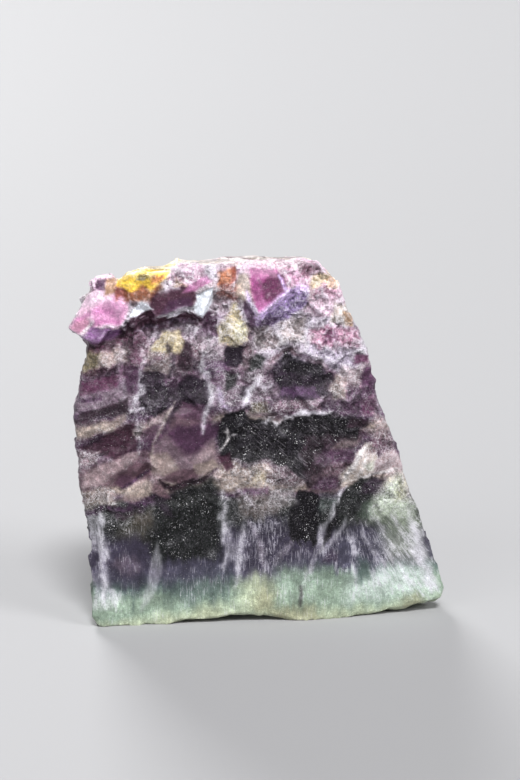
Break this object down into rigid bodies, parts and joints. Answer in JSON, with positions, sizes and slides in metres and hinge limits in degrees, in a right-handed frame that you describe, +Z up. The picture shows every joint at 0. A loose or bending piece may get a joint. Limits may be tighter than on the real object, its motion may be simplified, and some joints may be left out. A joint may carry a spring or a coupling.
{
  "type": "fluorite specimen",
  "caption": "Thick banded fluorite slab with broken faces and cubic crystals along its top, standing on its uneven green base.",
  "frame": {"origin": "on the floor, under the middle of the stone's overall width and depth", "axes": "+Z up, -Y out of the front face that the picture shows, +X to the viewer's right"},
  "size_m": [0.0908, 0.0262, 0.0875],
  "materials": {
    "fluorite": "rough glassy stone, milky purple and grey bands over a green base, with pale veins and iron stains"
  },
  "bodies": {
    "root": {"fluorite_slab": "fluorite"}
  },
  "joints": []
}
